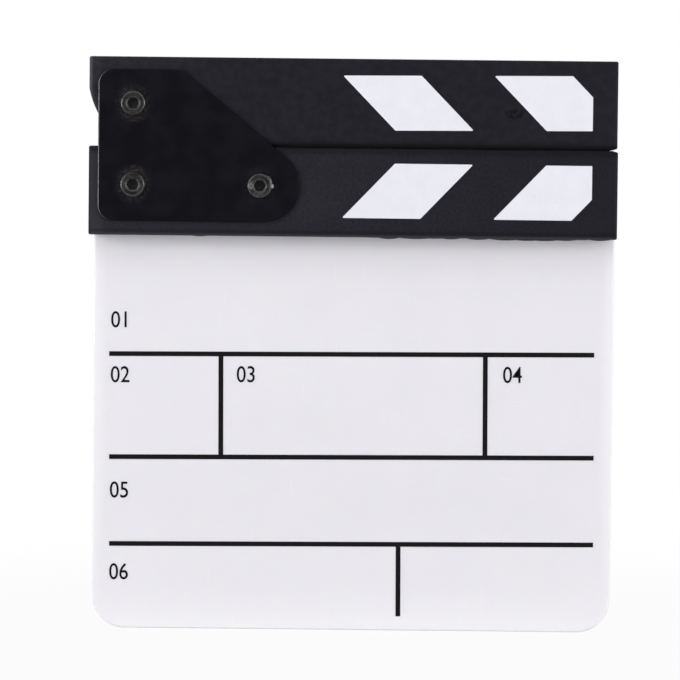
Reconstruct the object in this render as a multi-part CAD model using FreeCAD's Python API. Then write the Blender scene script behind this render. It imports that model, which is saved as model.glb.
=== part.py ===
import FreeCAD, Part
import math
import os

# A small film clapperboard: an acrylic slate, a fixed stick and a clapper stick hinged to it.
# Millimetres, +Z up. The written face looks along -Y, and +X is to the reader's right.
# The origin is the middle of the slate's bottom edge, half way through the sheet.

# Slate
BOARD_WIDTH = 149.3
BOARD_EXPOSED_HEIGHT = 113.25
BOARD_THICKNESS = 3.0
BOARD_CORNER_RADIUS = 9.5
BOARD_EDGE_RADIUS = 0.5
BOARD_TOP_STEP = 1.0

# Sticks: painted slats past the slate at the hinge end and short of it at the free end, the clapper most
STICK_OVERHANG = 1.0
CLAPPER_FREE_INSET = 0.3
FIXED_STICK_FREE_INSET = 0.1
STICK_HEIGHT = 25.25
STICK_THICKNESS = 10.0
STICK_EDGE_RADIUS = 0.9
STICK_CORNER_RADIUS = 0.6
CLOSED_GAP = 0.1

# Slope that opens the gap between the sticks at their free ends
GAP_SLOPE_LENGTH = 1.7
GAP_SLOPE_HEIGHT = 0.45

# Arc that takes off the clapper's lower hinge corner, so that it can swing over the fixed stick
SWING_ARC_RADIUS = 25.0
SWING_ARC_ABOVE_PIVOT = 4.2
SWING_ARC_BEFORE_PIVOT = 1.8
SWING_ARC_BLEND = 4.0

# Glue film between the fixed stick and the slate
GLUE_THICKNESS = 0.4
GLUE_INSET = 1.5

# Hinge screws: the pivot's place sets how far the clapper opens before its end meets the fixed stick
PIVOT_FROM_END = 12.7
PIVOT_ABOVE_FIXED_STICK = 12.05
PLATE_SCREW_BELOW_STICK_TOP = 10.9
PLATE_SCREW_SPACING = 35.95

# Hinge plate, set out from the screws
PLATE_THICKNESS = 1.5
PLATE_END_MARGIN = 10.0
PLATE_TOP_MARGIN = 9.65
PLATE_TOP_LENGTH = 23.8
PLATE_CORNER_RADIUS = 4.2
PLATE_NOSE_RADIUS = 10.25
PLATE_NOSE_OFFSET = 1.05
PLATE_EDGE_RADIUS = 0.4

# M4 x 20 low-head socket screws, with their washers and nuts
SCREW_DIAMETER = 4.0
SCREW_HEAD_DIAMETER = 7.0
SCREW_HEAD_HEIGHT = 2.8
SCREW_HEAD_CHAMFER = 0.4
SCREW_TIP_CHAMFER = 0.5
SCREW_STAND_OUT = 1.1
SOCKET_ACROSS_FLATS = 3.0
SOCKET_DEPTH = 1.9
SOCKET_LEAD_IN_DIAMETER = 4.0
SOCKET_LEAD_IN_DEPTH = 0.4
WASHER_DIAMETER = 9.0
WASHER_THICKNESS = 0.8
NUT_ACROSS_FLATS = 7.0
NUT_HEIGHT = 3.2
NUT_CORNER_CHAMFER = 0.35

# Lock nut: a plain nut with a collar that holds a nylon ring under its lip
COLLAR_WALL = 0.5
COLLAR_LIP = 0.4
INSERT_WIDTH = 0.7
INSERT_HEIGHT = 1.4

# Clearances, all on the radius apart from the play
HOLE_CLEARANCE = 0.15
PIVOT_CLEARANCE = 0.05
THREAD_CLEARANCE = 0.03
INSERT_CLEARANCE = 0.03
HINGE_PLAY = 0.1

# White slanted marks on the sticks, placed from the free end, each pair turned a little out of line
MARK_HEIGHT = 15.55
MARK_WIDTH = 22.25
MARK_SLANT = 43.7
MARK_PITCH = 42.9
MARK_MIDDLE_FROM_END = 16.55
MARK_RAISE = 0.5
MARK_END_MARGIN = 7.15
MARK_PLATE_MARGIN = 1.0
MARK_THICKNESS = 0.12
UPPER_MARK_TURN = 0.43
LOWER_MARK_TURN = -0.11

# Black rules printed on the slate, with the rows counted from the bottom edge up, the whole form turned
# a little out of true
RULE_WIDTH = 1.37
RULE_THICKNESS = 0.08
RULE_LEFT_MARGIN = 4.8
RULE_RIGHT_MARGIN = 5.2
BOTTOM_ROW_HEIGHT = 24.8
LOW_ROW_HEIGHT = 25.05
MIDDLE_ROW_HEIGHT = 29.65
LEFT_FIELD_WIDTH = 36.9
RIGHT_FIELD_WIDTH = 36.45
BOTTOM_DIVIDER_FROM_RIGHT = 61.3
BOTTOM_DIVIDER_MARGIN = 4.0
FORM_TURN = 0.42

# Depths, from the slate's middle towards the reader and towards the back
board_back = BOARD_THICKNESS / 2
board_front = -board_back
stick_back = board_front - GLUE_THICKNESS
stick_front = stick_back - STICK_THICKNESS
plate_front = stick_front - PLATE_THICKNESS
clapper_back = stick_back - HINGE_PLAY
clapper_front = stick_front + HINGE_PLAY
plate_nut_front = board_back + WASHER_THICKNESS
lock_nut_front = stick_back + WASHER_THICKNESS
screw_tip = plate_nut_front + NUT_HEIGHT + SCREW_STAND_OUT

# Widths and heights
board_left = -BOARD_WIDTH / 2
board_right = BOARD_WIDTH / 2
stick_left = board_left - STICK_OVERHANG
stick_right = board_right - CLAPPER_FREE_INSET
lower_bottom = BOARD_EXPOSED_HEIGHT
lower_top = lower_bottom + STICK_HEIGHT
upper_bottom = lower_top + CLOSED_GAP
upper_top = upper_bottom + STICK_HEIGHT
board_top = lower_top - BOARD_TOP_STEP

# Screw centres, as (x, z)
pivot = (stick_left + PIVOT_FROM_END, lower_top + PIVOT_ABOVE_FIXED_STICK)
left_screw = (pivot[0], lower_top - PLATE_SCREW_BELOW_STICK_TOP)
right_screw = (left_screw[0] + PLATE_SCREW_SPACING, left_screw[1])
plate_right = right_screw[0] + PLATE_NOSE_OFFSET + PLATE_NOSE_RADIUS

hole_radius = SCREW_DIAMETER / 2 + HOLE_CLEARANCE
pivot_hole_radius = SCREW_DIAMETER / 2 + PIVOT_CLEARANCE
thread_radius = SCREW_DIAMETER / 2 + THREAD_CLEARANCE


def at(point, y):
    """An (x, z) point at the depth y."""
    return FreeCAD.Vector(point[0], y, point[1])


def block(x_span, y_span, z_span):
    """A rectangular block between two corners."""
    low, high = zip(x_span, y_span, z_span)
    size = [h - l for l, h in zip(low, high)]
    return Part.makeBox(*size, FreeCAD.Vector(*low))


def turned(centre, profile):
    """A solid turned about the line along Y through centre, from a profile of (radius, y) points."""
    points = [FreeCAD.Vector(centre[0] + radius, y, centre[1]) for radius, y in profile]
    face = Part.Face(Part.makePolygon(points + points[:1]))
    return face.revolve(at(centre, 0), FreeCAD.Vector(0, 1, 0), 360)


def ring(centre, inner, outer, y_front, y_back):
    """A flat ring, or a plain cylinder where the inner radius is zero."""
    return turned(centre, [(inner, y_front), (outer, y_front), (outer, y_back), (inner, y_back)])


def drilled(solid, centre, radius):
    """The solid with a hole along Y, right through the whole object's depth."""
    return solid.cut(ring(centre, 0, radius, plate_front - SCREW_HEAD_HEIGHT, screw_tip))


def prism(wire, y_back):
    """The solid from a flat wire straight back to the depth y_back."""
    return Part.Face(wire).extrude(FreeCAD.Vector(0, y_back - wire.BoundBox.YMin, 0))


def polygon(points, y):
    """A closed wire through (x, z) points."""
    corners = [at(point, y) for point in points]
    return Part.makePolygon(corners + corners[:1])


def rectangle(x_span, z_span, y):
    """A closed rectangular wire."""
    (left, right), (bottom, top) = x_span, z_span
    return polygon([(left, bottom), (right, bottom), (right, top), (left, top)], y)


def hexagon(centre, across_flats, y):
    """A closed hexagonal wire with two corners level with its centre."""
    reach = across_flats / math.sqrt(3)
    angles = [math.radians(60 * i) for i in range(6)]
    return polygon([(centre[0] + reach * math.cos(a), centre[1] + reach * math.sin(a)) for a in angles], y)


def edges_along_y(solid):
    """The straight edges that run from front to back."""
    return [e for e in solid.Edges if e.BoundBox.XLength < 1e-6 and e.BoundBox.ZLength < 1e-6]


def edges_facing_y(solid):
    """The edges round the front and back faces."""
    return [e for e in solid.Edges if e.BoundBox.YLength < 1e-6]


def slate_board():
    sheet = prism(rectangle((board_left, board_right), (0, board_top), board_front), board_back)
    sheet = sheet.makeFillet(BOARD_CORNER_RADIUS, edges_along_y(sheet))
    sheet = sheet.makeFillet(BOARD_EDGE_RADIUS, edges_facing_y(sheet))
    return drilled(drilled(sheet, left_screw, hole_radius), right_screw, hole_radius)


def adhesive_strip():
    x_span = (board_left + GLUE_INSET, board_right - GLUE_INSET)
    z_span = (lower_bottom + GLUE_INSET, board_top - GLUE_INSET)
    strip = prism(rectangle(x_span, z_span, stick_back), board_front)
    upper_corners = [e for e in edges_along_y(strip) if e.BoundBox.ZMin > left_screw[1]]
    strip = strip.makeFillet(BOARD_CORNER_RADIUS - GLUE_INSET, upper_corners)
    return drilled(drilled(strip, left_screw, hole_radius), right_screw, hole_radius)


def touching(edges, points):
    """Those of the edges that pass through one of the points."""
    corners = [Part.Vertex(point) for point in points]
    return [e for e in edges if any(e.distToShape(corner)[0] < 1e-6 for corner in corners)]


def rounded(slat, points):
    """The slat with its front and back edges rounded, and its corners at the points rounded less."""
    document = FreeCAD.newDocument()
    blank = document.addObject("Part::Feature", "blank")
    blank.Shape = slat
    slat = document.addObject("Part::Fillet", "slat")
    slat.Base = blank
    radii = [(edge, STICK_EDGE_RADIUS) for edge in edges_facing_y(blank.Shape)]
    radii += [(edge, STICK_CORNER_RADIUS) for edge in touching(edges_along_y(blank.Shape), points)]
    numbers = {edge.hashCode(): number for number, edge in enumerate(blank.Shape.Edges, 1)}
    slat.Edges = [(numbers[edge.hashCode()], radius, radius) for edge, radius in radii]
    document.recompute()
    return slat.Shape


def lower_stick():
    right = board_right - FIXED_STICK_FREE_INSET
    outline = [(right - GAP_SLOPE_LENGTH, lower_top), (stick_left, lower_top), (stick_left, lower_bottom)]
    outline += [(right, lower_bottom), (right, lower_top - GAP_SLOPE_HEIGHT)]
    corners = [at(corner, stick_front) for corner in outline]
    slat = rounded(prism(polygon(outline, stick_front), stick_back), corners)
    return drilled(drilled(slat, left_screw, hole_radius), right_screw, hole_radius)


def swing_arc(y):
    """The arc across the clapper's lower hinge corner, from its end face to its bottom face."""
    start = at((stick_left, pivot[1] + SWING_ARC_ABOVE_PIVOT), y)
    end = at((pivot[0] - SWING_ARC_BEFORE_PIVOT, upper_bottom), y)
    chord = end - start
    outward = at((chord.z, -chord.x), 0).normalize()
    bulge = SWING_ARC_RADIUS - math.sqrt(SWING_ARC_RADIUS**2 - (chord.Length / 2) ** 2)
    return start, (start + end) / 2 + outward * bulge, end


def upper_stick():
    start, middle, end = swing_arc(clapper_front)
    outline = [(stick_right - GAP_SLOPE_LENGTH, upper_bottom), (stick_right, upper_bottom + GAP_SLOPE_HEIGHT)]
    outline += [(stick_right, upper_top), (stick_left, upper_top)]
    corners = [at(corner, clapper_front) for corner in outline]
    path = [end] + corners + [start]
    sides = [Part.LineSegment(a, b).toShape() for a, b in zip(path, path[1:])]
    slat = prism(Part.Wire([Part.Arc(start, middle, end).toShape()] + sides), clapper_back)
    slat = slat.makeFillet(SWING_ARC_BLEND, touching(edges_along_y(slat), (start, end)))
    return drilled(rounded(slat, corners), pivot, pivot_hole_radius)


def hinge_plate():
    """A plate whose slanted side runs from its top edge, tangent to the round nose."""
    left = pivot[0] - PLATE_END_MARGIN
    top = pivot[1] + PLATE_TOP_MARGIN
    bottom = right_screw[1] - PLATE_NOSE_RADIUS
    top_right = left + PLATE_TOP_LENGTH
    run = right_screw[0] + PLATE_NOSE_OFFSET - top_right
    drop = top - right_screw[1]
    slant = math.atan2(drop, run) - math.asin(PLATE_NOSE_RADIUS / math.hypot(run, drop))
    nose_tip = top_right + (top - bottom) / math.tan(slant)
    outline = polygon([(left, bottom), (left, top), (top_right, top), (nose_tip, bottom)], plate_front)
    plate = prism(outline, stick_front)
    nose = [e for e in edges_along_y(plate) if e.BoundBox.XMax > right_screw[0]]
    plate = plate.makeFillet(PLATE_NOSE_RADIUS, nose)
    square = [e for e in edges_along_y(plate) if e.BoundBox.XMax < top_right + PLATE_EDGE_RADIUS]
    plate = plate.makeFillet(PLATE_CORNER_RADIUS, square)
    front_edges = [e for e in edges_facing_y(plate) if e.BoundBox.YMax < stick_front - PLATE_EDGE_RADIUS]
    plate = plate.makeFillet(PLATE_EDGE_RADIUS, front_edges)
    for centre in (pivot, left_screw, right_screw):
        plate = drilled(plate, centre, hole_radius)
    return plate


def socket_screw(centre):
    """A low-head screw whose head seats on the plate, with a hexagon socket."""
    head_front = plate_front - SCREW_HEAD_HEIGHT
    head = SCREW_HEAD_DIAMETER / 2
    shank = SCREW_DIAMETER / 2
    profile = [
        (0, head_front),
        (head - SCREW_HEAD_CHAMFER, head_front),
        (head, head_front + SCREW_HEAD_CHAMFER),
        (head, plate_front),
        (shank, plate_front),
        (shank, screw_tip - SCREW_TIP_CHAMFER),
        (shank - SCREW_TIP_CHAMFER, screw_tip),
        (0, screw_tip),
    ]
    socket = prism(hexagon(centre, SOCKET_ACROSS_FLATS, head_front), head_front + SOCKET_DEPTH)
    lead_in = turned(
        centre,
        [
            (0, head_front),
            (SOCKET_LEAD_IN_DIAMETER / 2, head_front),
            (SOCKET_ACROSS_FLATS / 2, head_front + SOCKET_LEAD_IN_DEPTH),
            (0, head_front + SOCKET_LEAD_IN_DEPTH),
        ],
    )
    return turned(centre, profile).cut(socket).cut(lead_in)


def washer(centre, y_front):
    return ring(centre, hole_radius, WASHER_DIAMETER / 2, y_front, y_front + WASHER_THICKNESS)


def hex_nut(centre, y_front):
    """A nut with its corners chamfered on both faces."""
    y_back = y_front + NUT_HEIGHT
    flat = NUT_ACROSS_FLATS / 2
    corner = NUT_ACROSS_FLATS / math.sqrt(3)
    barrel = turned(
        centre,
        [
            (thread_radius, y_front),
            (flat, y_front),
            (corner, y_front + NUT_CORNER_CHAMFER),
            (corner, y_back - NUT_CORNER_CHAMFER),
            (flat, y_back),
            (thread_radius, y_back),
        ],
    )
    return prism(hexagon(centre, NUT_ACROSS_FLATS, y_front), y_back).common(barrel)


def lock_nut():
    """A nut whose collar closes over the nylon ring."""
    seat = lock_nut_front + NUT_HEIGHT
    lip = seat + INSERT_HEIGHT
    pocket = thread_radius + INSERT_WIDTH + INSERT_CLEARANCE
    collar = turned(
        pivot,
        [
            (pocket, seat),
            (pocket + COLLAR_WALL, seat),
            (pocket + COLLAR_WALL, lip),
            (pocket, lip + COLLAR_LIP),
            (pocket - COLLAR_WALL, lip + COLLAR_LIP),
            (pocket - COLLAR_WALL, lip),
            (pocket, lip),
        ],
    )
    return hex_nut(pivot, lock_nut_front).fuse(collar).removeSplitter()


def lock_nut_insert():
    seat = lock_nut_front + NUT_HEIGHT
    return ring(pivot, thread_radius, thread_radius + INSERT_WIDTH, seat, seat + INSERT_HEIGHT)


def mark(pitches, slant, turn, z_bottom, y_back):
    """A slanted mark, so many pitches in from the free end's mark and turned about that mark's middle.

    It is cut off square where it would come too near the hinge plate or the free end.
    """
    end_middle = (stick_right - MARK_MIDDLE_FROM_END, z_bottom + STICK_HEIGHT / 2 + MARK_RAISE)
    x = end_middle[0] - pitches * MARK_PITCH
    top = end_middle[1] + MARK_HEIGHT / 2
    bottom = end_middle[1] - MARK_HEIGHT / 2
    half = MARK_WIDTH / 2
    shift = MARK_HEIGHT / 2 * math.tan(math.radians(slant))
    points = [(x - shift - half, bottom), (x - shift + half, bottom)]
    points += [(x + shift + half, top), (x + shift - half, top)]
    y_front = y_back - MARK_THICKNESS
    slanted = prism(polygon(points, y_front), y_back)
    slanted.rotate(at(end_middle, y_back), FreeCAD.Vector(0, -1, 0), turn)
    free_span = (plate_right + MARK_PLATE_MARGIN, stick_right - MARK_END_MARGIN)
    return slanted.common(block(free_span, (y_front, y_back), (z_bottom, z_bottom + STICK_HEIGHT)))


def field_rules():
    """The ruled form: three lines across, two dividers between the upper two, one below the lowest."""
    half = RULE_WIDTH / 2
    low_line = BOTTOM_ROW_HEIGHT
    middle_line = low_line + LOW_ROW_HEIGHT
    upper_line = middle_line + MIDDLE_ROW_HEIGHT
    depth = (board_front - RULE_THICKNESS, board_front)
    across = (board_left + RULE_LEFT_MARGIN, board_right - RULE_RIGHT_MARGIN)
    bars = [block(across, depth, (z - half, z + half)) for z in (upper_line, middle_line, low_line)]
    for x in (board_left + LEFT_FIELD_WIDTH, board_right - RIGHT_FIELD_WIDTH):
        bars.append(block((x - half, x + half), depth, (middle_line, upper_line)))
    x = board_right - BOTTOM_DIVIDER_FROM_RIGHT
    bars.append(block((x - half, x + half), depth, (BOTTOM_DIVIDER_MARGIN, low_line)))
    form = bars[0].multiFuse(bars[1:]).removeSplitter()
    form.rotate(at((0, middle_line), board_front), FreeCAD.Vector(0, -1, 0), FORM_TURN)
    return form


def pieces():
    """Every piece of the clapperboard, by name."""
    return {
        "slate_board": slate_board(),
        "field_rules": field_rules(),
        "adhesive_strip": adhesive_strip(),
        "lower_stick": lower_stick(),
        "lower_stripe_inner": mark(1, MARK_SLANT, LOWER_MARK_TURN, lower_bottom, stick_front),
        "lower_stripe_end": mark(0, MARK_SLANT, LOWER_MARK_TURN, lower_bottom, stick_front),
        "upper_stick": upper_stick(),
        "upper_stripe_inner": mark(1, -MARK_SLANT, UPPER_MARK_TURN, upper_bottom, clapper_front),
        "upper_stripe_end": mark(0, -MARK_SLANT, UPPER_MARK_TURN, upper_bottom, clapper_front),
        "hinge_plate": hinge_plate(),
        "pivot_screw": socket_screw(pivot),
        "pivot_washer": washer(pivot, stick_back),
        "pivot_lock_nut": lock_nut(),
        "pivot_nut_insert": lock_nut_insert(),
        "left_plate_screw": socket_screw(left_screw),
        "left_plate_washer": washer(left_screw, board_back),
        "left_plate_nut": hex_nut(left_screw, plate_nut_front),
        "right_plate_screw": socket_screw(right_screw),
        "right_plate_washer": washer(right_screw, board_back),
        "right_plate_nut": hex_nut(right_screw, plate_nut_front),
    }


os.makedirs("parts", exist_ok=True)
for name, shape in pieces().items():
    if not shape.isValid() or shape.Volume <= 0:
        raise ValueError(name + " is not a sound solid")
    shape.exportStep("parts/" + name + ".step")
    print(name, len(shape.Solids), "solid,", round(shape.Volume, 2), "mm3")
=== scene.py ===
import functools
import math
import random

import bmesh
import bpy
from mathutils import Matrix, Vector


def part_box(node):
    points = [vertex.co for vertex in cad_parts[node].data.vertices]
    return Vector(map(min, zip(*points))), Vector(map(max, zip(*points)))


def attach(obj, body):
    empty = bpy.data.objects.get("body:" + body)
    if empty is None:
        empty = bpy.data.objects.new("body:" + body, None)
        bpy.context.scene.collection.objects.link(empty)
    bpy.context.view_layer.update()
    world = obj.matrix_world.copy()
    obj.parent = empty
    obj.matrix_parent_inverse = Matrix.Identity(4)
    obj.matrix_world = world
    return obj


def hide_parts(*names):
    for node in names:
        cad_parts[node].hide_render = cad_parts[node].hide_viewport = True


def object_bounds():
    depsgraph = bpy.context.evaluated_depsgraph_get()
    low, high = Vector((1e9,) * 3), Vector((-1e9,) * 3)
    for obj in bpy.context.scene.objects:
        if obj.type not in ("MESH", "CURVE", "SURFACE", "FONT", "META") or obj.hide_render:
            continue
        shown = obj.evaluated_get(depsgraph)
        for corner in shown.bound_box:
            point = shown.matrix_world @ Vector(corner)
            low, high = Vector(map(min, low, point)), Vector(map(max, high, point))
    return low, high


# A small film clapperboard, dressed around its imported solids. Metres, in the frame of the solids:
# +Z up, the written face looks along -Y, and +X is to the reader's right.

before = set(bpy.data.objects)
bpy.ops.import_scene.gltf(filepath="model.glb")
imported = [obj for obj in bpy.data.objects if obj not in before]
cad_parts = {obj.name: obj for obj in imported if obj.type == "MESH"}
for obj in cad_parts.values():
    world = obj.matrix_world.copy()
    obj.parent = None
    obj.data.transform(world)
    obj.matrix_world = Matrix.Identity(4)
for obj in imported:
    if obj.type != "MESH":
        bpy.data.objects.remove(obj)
cad_low, cad_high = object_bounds()

MM = 0.001

# Camera, at the photograph's viewing angle: looking a little down, and rolled a little
CAMERA_LENS = 186.28
CAMERA_SENSOR = 36.0
CAMERA_TARGET = Vector((-3.82, -11.9, 84.03)) * MM
CAMERA_DISTANCE = 1.0
CAMERA_ELEVATION = math.radians(2.4)
CAMERA_ROLL = math.radians(0.61)

# Studio
FLOOR_SIZE = 8.0
FLOOR_COLOUR = (0.6, 0.6, 0.6, 1.0)
FLOOR_WHITE_SHARE = 0.93
FLOOR_SHADOW_NEAR = 0.08
FLOOR_SHADOW_FAR = 0.3
WORLD_AMBIENT = 0.38
KEY_PLACE = Vector((-0.2, -1.3, 1.0))
KEY_SIZE = 1.1
KEY_POWER = 4.6

# Soft boxes at the front corners, narrow strips level with the object for its edges, and a box behind and
# above it for its back: place, width, height and power
SOFT_LIGHTS = {
    "left_box": (Vector((-0.95, -0.95, 0.27)), 0.7, 0.52, 6.35),
    "right_box": (Vector((0.95, -0.95, 0.27)), 0.7, 0.52, 5.65),
    "left_strip": (Vector((-1.15, -0.12, 0.2)), 0.12, 0.36, 3.0),
    "right_strip": (Vector((1.15, -0.12, 0.2)), 0.12, 0.36, 2.6),
    "back_box": (Vector((0.0, 1.2, 1.1)), 1.2, 0.8, 11.0),
}

# Shape of the turned pieces: points round a ring, the angle up to which faces shade as one surface, and how
# far edges are eased
SEGMENTS = 72
SMOOTH_ANGLE = math.radians(32)
EDGE_BREAK = 0.08 * MM
RING_EDGE = 2 * EDGE_BREAK
SHOULDER_EASE = 1.4 * EDGE_BREAK
NUT_EASE = EDGE_BREAK / 3

# Socket screws. The thread starts this far before the sticks' backs on the pivot screw, whose plain shank
# is the hinge pin, and this far behind the plate on the others
SOCKET_ACROSS_FLATS = 3.0 * MM
SOCKET_DEPTH = 1.9 * MM
SOCKET_POINT = 0.4 * MM
LEAD_IN_RADIUS = 2.0 * MM
LEAD_IN_SLOPE = 0.8
HEAD_CHAMFER = 0.4 * MM
SHANK_RADIUS = 2.0 * MM
TIP_CHAMFER = 0.5 * MM
THREAD_START = 1.0 * MM
THREAD_PITCH = 0.7 * MM
THREAD_DEPTH = 0.42 * MM
THREAD_CREST_SHARE = 0.16
THREAD_STEPS = 14
THREAD_RUN_OUT = 1.4 * MM

# Wear on the screws, where 0 is black oxide and 1 is worn steel
SOCKET_WALL_WEAR = 0.1
SOCKET_MOUTH_WEAR = 0.75
FACE_INNER_WEAR = 0.3
FACE_WEAR = 0.05
FACE_OUTER_WEAR = 0.5
RIM_WEAR = 1.0
SIDE_WEAR = 0.08
SEAT_WEAR = 0.3
THREAD_WEAR = 0.25
TIP_WEAR = 0.4
BURR_WEAR_PER_MM = 4
BURR_WEAR_MOST = 1.8

# Damage to the screw heads: burrs beyond the rim, and rubbed places on the face, as (degrees from the
# right, half width in degrees, height in mm or share of wear)
HEAD_BURRS = {"right_plate_screw": ((-2, 12.5, 0.6), (34, 20, 0.3))}
HEAD_RUBS = {
    "pivot_screw": ((275, 40, 0.3),),
    "left_plate_screw": ((175, 45, 0.3), (335, 40, 0.25)),
    "right_plate_screw": ((178, 32, 1.4), (268, 60, 0.35), (330, 40, 0.25)),
}

# Scuffed coating on the plate round the screws, also painted paler nearest the heads over their contact
# shade: the share that is rubbed off and painted paler at the head
SCUFFS_AND_LIGHT = {"pivot_screw": 1.0, "left_plate_screw": 1.0, "right_plate_screw": 0.35}

# Brownish streaked patches at the screws, in mm: middle from the screw's centre, and half sizes
BROWN_STREAKS = {
    "pivot_screw": ((0.5, -3.5), (2.5, 1.7)),
    "left_plate_screw": ((0.5, 3.3), (2.2, 2.1)),
}
BROWN_STREAK_COVER = 0.75

# A dark smudge on the clapper's face, as x and z
SMUDGE_MIDDLE = (44.85 * MM, 148.6 * MM)
SMUDGE_HALF = (2.8 * MM, 1.5 * MM)

# Nuts, washers and the lock nut's collar with its nylon ring
NUT_ACROSS_FLATS = 7.0 * MM
NUT_CHAMFER = 0.35 * MM
NUT_HEIGHT = 3.2 * MM
NUT_BORE_RADIUS = 2.03 * MM
NUT_BORE_BREAK = 0.25 * MM
WASHER_BORE_RADIUS = 2.15 * MM
COLLAR_WALL = 0.5 * MM
COLLAR_LIP = 0.4 * MM
COLLAR_LIP_STEPS = 4
COLLAR_POCKET_RADIUS = 2.76 * MM

# Printed marks, and how near the front a corner of the solid lies to be on its face, with the digits that
# tell two corners apart
MARK_CORNER_RADIUS = 0.22 * MM
MARK_CORNER_STEPS = 6
FACE_TOLERANCE = 0.01 * MM
PLACE_DIGITS = 7

# Glue squeezed out under the fixed stick, dark and lumpy also as painted shade along the stick's bottom
# edge: a thin wavy line, and lumps in mm as (middle, half width, drop below the stick)
STICK_EDGE_RADIUS = 0.9 * MM
GLUE_STEP = 0.4 * MM
GLUE_END_MARGIN = 0.8 * MM
GLUE_RISE = 1.3 * MM
GLUE_THIN_DROP = 0.04 * MM
GLUE_REACH_SHARE = 0.9
GLUE_CLEARANCE = 0.01 * MM
GLUE_ROUND_STEPS = 6
GLUE_SEED = 11
GLUE_WAVES = 5
GLUE_WAVE_SIZES = (1.5 * MM, 6.0 * MM)
GLUE_WAVE_PHASE = 6.28
GLUE_WAVE_SHARE = 0.25
GLUE_WAVE_MEAN = 1.6
GLUE_LUMP_POWER = 0.8
GLUE_AND_SHADE_LUMPS = (
    (-44.4, 2.6, 0.3),
    (5.4, 3.6, 0.17),
    (9.8, 3.3, 0.52),
    (17.6, 5.2, 0.44),
    (23.0, 4.0, 0.3),
    (27.6, 3.2, 0.43),
    (35.4, 3.6, 0.49),
    (43.4, 5.4, 0.58),
    (49.6, 5.4, 0.62),
    (54.6, 5.6, 0.65),
    (60.6, 4.0, 0.54),
    (64.6, 4.0, 0.26),
    (70.4, 3.6, 0.42),
)

# Field numbers printed on the slate, in mm as (left edge, baseline) from the middle of its bottom edge, and
# turned as much as the ruled form is
NUMBER_HEIGHT = 4.7 * MM
NUMBER_NARROWING = 0.86
NUMBER_BOLDNESS = 0.004
NUMBER_THICKNESS = 0.08 * MM
NUMBER_TURN = math.radians(0.42)
NUMBER_PLACES = {
    "01": (-69.55, 86.5),
    "02": (-69.55, 70.7),
    "03": (-33.35, 71.1),
    "04": (43.15, 71.7),
    "05": (-69.55, 37.5),
    "06": (-69.55, 13.9),
}

# Colours of the finishes: each surface where it is dark and where it is pale, and the marks on it
ACRYLIC_DARK = (0.775, 0.763, 0.808, 1)
ACRYLIC_PALE = (0.79, 0.775, 0.82, 1)
# Painted light on the slate: its glow near the edges, its paler foot, and its paler underside
ACRYLIC_PAINTED_GLOW = (0.845, 0.835, 0.872, 1)
ACRYLIC_PAINTED_FOOT_LIGHT = (0.89, 0.88, 0.915, 1)
ACRYLIC_PAINTED_UNDERSIDE_LIGHT = (0.95, 0.945, 0.965, 1)
INK_DARK = (0.0062, 0.0044, 0.0057, 1)
INK_PALE = (0.0092, 0.0062, 0.0082, 1)
# Glue colour, dark also as painted shade under the fixed stick's edge
GLUE_AND_SHADE_DARK = (0.012, 0.012, 0.0132, 1)
GLUE_AND_SHADE_PALE = (0.022, 0.022, 0.0242, 1)
PAINT_DARK = (0.0077, 0.0073, 0.0112, 1)
PAINT_PALE = (0.0124, 0.0117, 0.0168, 1)
# Painted light down in the gap between the sticks
PAINT_IN_GAP_LIGHT = (0.0115, 0.011, 0.0142, 1)
# Stick paint painted paler, as painted light from the left
LIT_PAINT_DARK = (0.0155, 0.0147, 0.0201, 1)
LIT_PAINT_PALE = (0.0258, 0.0245, 0.0327, 1)
# Colour of the painted shade where the sticks meet and above the foot, and of the smudge
SHADE_AND_SMUDGE = (0.0013, 0.0013, 0.0019, 1)
# Painted light and shade at the sticks' hinge ends and on the fixed stick's foot
CLAPPER_TIP_HIGHLIGHT = (0.07, 0.067, 0.08, 1)
FIXED_END_PAINTED_LIGHT = (0.027, 0.026, 0.0325, 1)
FIXED_END_FACE_PAINTED_SHADE = (0.0075, 0.0072, 0.0105, 1)
FIXED_FOOT_PAINTED_LIGHT = (0.042, 0.04, 0.048, 1)
FILM_DARK = (0.75, 0.75, 0.812, 1)
FILM_PALE = (0.774, 0.774, 0.836, 1)
FILM_PIT = (0.55, 0.55, 0.6, 1)
COAT_DARK = (0.0034, 0.0031, 0.0051, 1)
COAT_PALE = (0.006, 0.0056, 0.0086, 1)
# Scuffed coat, also painted light over the heads' contact shade
COAT_SCUFF_AND_LIGHT = (0.036, 0.036, 0.03744, 1)
# Bare metal on the plate's left edge, as a painted highlight
COAT_PAINTED_HIGHLIGHT = (0.09, 0.09, 0.0927, 1)
BROWN_STREAK_DARK = (0.012, 0.0102, 0.0104, 1)
BROWN_STREAK_PALE = (0.042, 0.034, 0.03, 1)
OXIDE_DARK = (0.011, 0.011, 0.01166, 1)
OXIDE_PALE = (0.025, 0.025, 0.0265, 1)
# Painted shade in the sockets and near the plate
OXIDE_PAINTED_SHADE = (0.003, 0.003, 0.00318, 1)
STEEL_WORN = (0.074, 0.074, 0.07622, 1)
STEEL_BRIGHT = (0.17, 0.17, 0.1751, 1)
ZINC_DARK = (0.46, 0.47, 0.49, 1)
ZINC_PALE = (0.63, 0.64, 0.65, 1)
NYLON_DARK = (0.66, 0.68, 0.65, 1)
NYLON_PALE = (0.74, 0.75, 0.72, 1)

# The range that most of a noise's values lie in
NOISE_LOW = 0.3
NOISE_HIGH = 0.7

ANGLES = [2 * math.pi * i / SEGMENTS for i in range(SEGMENTS)]

board_low, board_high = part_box("slate_board")
stick_low, stick_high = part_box("lower_stick")
plate_low, plate_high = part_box("hinge_plate")


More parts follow.
